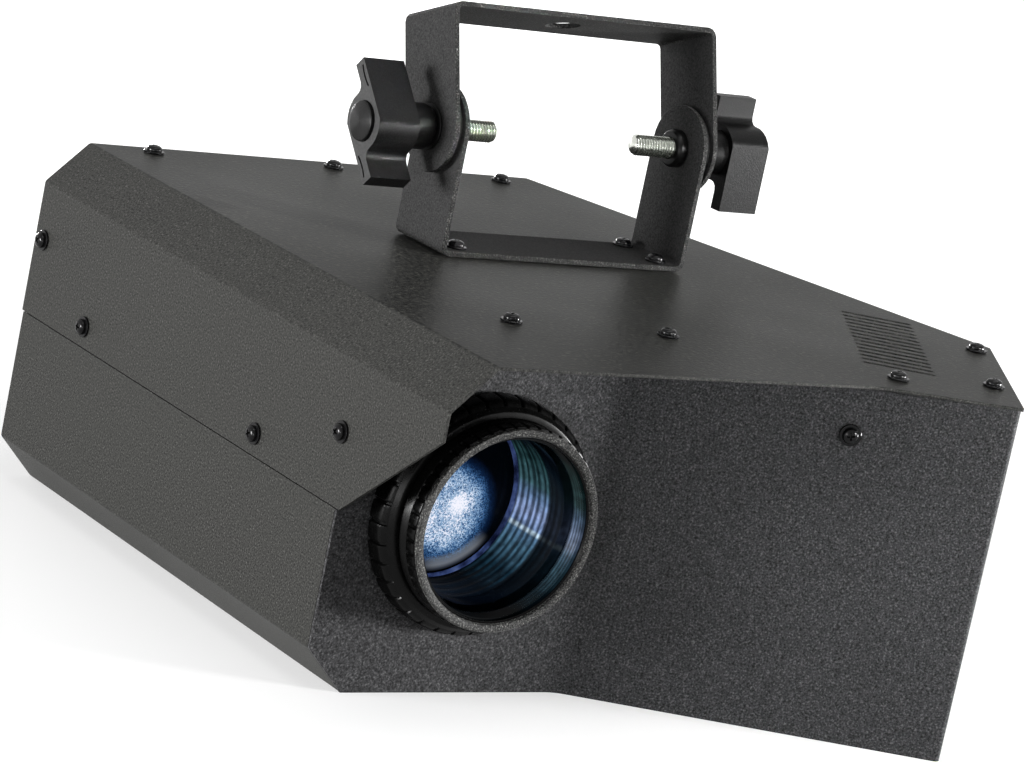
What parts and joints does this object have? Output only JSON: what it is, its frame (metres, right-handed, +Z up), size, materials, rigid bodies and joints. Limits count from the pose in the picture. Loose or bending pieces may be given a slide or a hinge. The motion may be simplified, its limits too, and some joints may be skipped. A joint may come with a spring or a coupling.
{
  "type": "led flower effect light",
  "caption": "Folded-steel LED effect light: hooded lens with ribbed focus ring, angled wing panel with vents above, turning pattern wheel, tilting U-yoke with clamp knobs.",
  "frame": {"origin": "on the underside of the housing, straight below the middle of the tilt axis", "axes": "+Z up, the lens looks along -Y, +X to the right of someone facing the lens; the tilt axis runs along X"},
  "size_m": [0.2809, 0.3337, 0.2244],
  "materials": {
    "housing_coat": "fine-texture black powder coat",
    "bracket_coat": "satin black powder coat",
    "black_fastener": "glossy black oxide",
    "friction_disc": "matte rubber",
    "knob_plastic": "grained black nylon",
    "cap_plastic": "spun satin disc",
    "zinc_steel": "bright zinc plate",
    "ring_gloss": "gloss black with moulded ribs",
    "barrel_black": "semi-gloss black",
    "rim_coat": "coarse speckled black coat, knurled edge",
    "coated_glass": "clear glass with a blue coating",
    "raw_aluminium": "plain mill finish",
    "lamp_board": "white board and collar",
    "wheel_plate": "thin bright steel",
    "circuit_board": "solder-masked board with parts",
    "fan_plastic": "satin black",
    "socket_black": "black moulded plastic",
    "display_dark": "dark window"
  },
  "bodies": {
    "housing": {"base_tray": "housing_coat", "front_panel": "housing_coat", "rear_panel": "housing_coat", "top_cover": "housing_coat", "lower_bracket": "bracket_coat", "bracket_screw_1": "black_fastener", "bracket_screw_2": "black_fastener", "bracket_screw_3": "black_fastener", "bracket_screw_4": "black_fastener", "cover_screw_1": "black_fastener", "cover_screw_2": "black_fastener", "cover_screw_3": "black_fastener", "cover_screw_4": "black_fastener", "cover_screw_5": "black_fastener", "cover_screw_6": "black_fastener", "cover_screw_7": "black_fastener", "cover_screw_8": "black_fastener", "side_screw_1": "black_fastener", "side_screw_2": "black_fastener", "side_screw_3": "black_fastener", "side_screw_4": "black_fastener", "wing_screw": "black_fastener", "lens_mount": "barrel_black", "engine_plate": "raw_aluminium", "heat_sink": "raw_aluminium", "led_module": "lamp_board", "condenser_lens": "coated_glass", "gobo_motor": "zinc_steel", "power_supply": "circuit_board", "control_board": "circuit_board", "fan_frame": "fan_plastic", "mains_inlet": "socket_black", "dmx_input": "socket_black", "dmx_output": "socket_black", "display_panel": "display_dark", "safety_eye": "zinc_steel", "pivot_nut_left": "black_fastener", "pivot_nut_right": "black_fastener", "friction_washer_left": "friction_disc", "friction_washer_right": "friction_disc"},
    "yoke": {"upper_yoke": "bracket_coat"},
    "washer_left": {"knob_washer_left": "black_fastener"},
    "washer_right": {"knob_washer_right": "black_fastener"},
    "knob_left": {"clamp_knob_left": "knob_plastic", "knob_cap_left": "cap_plastic", "knob_stud_left": "zinc_steel"},
    "knob_right": {"clamp_knob_right": "knob_plastic", "knob_cap_right": "cap_plastic", "knob_stud_right": "zinc_steel"},
    "focus_ring": {"focus_ring": "ring_gloss"},
    "barrel": {"lens_barrel": "barrel_black", "front_ring": "rim_coat", "front_lens": "coated_glass", "rear_lens": "coated_glass"},
    "gobo_wheel": {"gobo_wheel": "wheel_plate"},
    "fan_rotor": {"fan_rotor": "fan_plastic"},
    "menu_button_1": {"menu_button_1": "fan_plastic"},
    "menu_button_2": {"menu_button_2": "fan_plastic"},
    "menu_button_3": {"menu_button_3": "fan_plastic"},
    "menu_button_4": {"menu_button_4": "fan_plastic"}
  },
  "joints": [
    {"name": "yoke_tilt", "type": "hinge", "parent": "housing", "child": "yoke", "pos_m": [0, 0, 0.1772], "axis": [1, 0, 0], "range_deg": [-104, 145]},
    {"name": "clamp_travel_left", "type": "slide", "parent": "housing", "child": "washer_left", "axis": [-1, 0, 0], "range_m": [0, 0.0025]},
    {"name": "knob_turn_left", "type": "hinge", "parent": "washer_left", "child": "knob_left", "pos_m": [-0.075, 0, 0.1772], "axis": [-1, 0, 0], "range_deg": [0, 723]},
    {"name": "clamp_travel_right", "type": "slide", "parent": "housing", "child": "washer_right", "axis": [1, 0, 0], "range_m": [0, 0.0025]},
    {"name": "knob_turn_right", "type": "hinge", "parent": "washer_right", "child": "knob_right", "pos_m": [0.075, 0, 0.1772], "axis": [1, 0, 0], "range_deg": [0, 723]},
    {"name": "focus_turn", "type": "hinge", "parent": "housing", "child": "focus_ring", "pos_m": [-0.084, -0.1105, 0.0665], "axis": [0, -1, 0], "range_deg": [-73, 109]},
    {"name": "barrel_slide", "type": "slide", "parent": "housing", "child": "barrel", "axis": [0, -1, 0], "range_m": [-0.004, 0.006]},
    {"name": "gobo_spin", "type": "hinge", "parent": "housing", "child": "gobo_wheel", "pos_m": [-0.046, -0.1565, 0.0665], "axis": [0, 1, 0], "continuous": true},
    {"name": "fan_spin", "type": "hinge", "parent": "housing", "child": "fan_rotor", "pos_m": [-0.084, 0.114, 0.0665], "axis": [0, 1, 0], "continuous": true},
    {"name": "menu_press_1", "type": "slide", "parent": "housing", "child": "menu_button_1", "axis": [0, -1, 0], "range_m": [0, 0.001], "stiffness_N_per_m": 500, "springref_m": -0.001},
    {"name": "menu_press_2", "type": "slide", "parent": "housing", "child": "menu_button_2", "axis": [0, -1, 0], "range_m": [0, 0.001], "stiffness_N_per_m": 500, "springref_m": -0.001},
    {"name": "menu_press_3", "type": "slide", "parent": "housing", "child": "menu_button_3", "axis": [0, -1, 0], "range_m": [0, 0.001], "stiffness_N_per_m": 500, "springref_m": -0.001},
    {"name": "menu_press_4", "type": "slide", "parent": "housing", "child": "menu_button_4", "axis": [0, -1, 0], "range_m": [0, 0.001], "stiffness_N_per_m": 500, "springref_m": -0.001}
  ],
  "couplings": [
    {"joint": "knob_turn_left", "follows": "clamp_travel_left", "rad_per_m": 5026.5},
    {"joint": "knob_turn_right", "follows": "clamp_travel_right", "rad_per_m": 5026.5},
    {"joint": "focus_turn", "follows": "barrel_slide", "rad_per_m": 314.16}
  ]
}
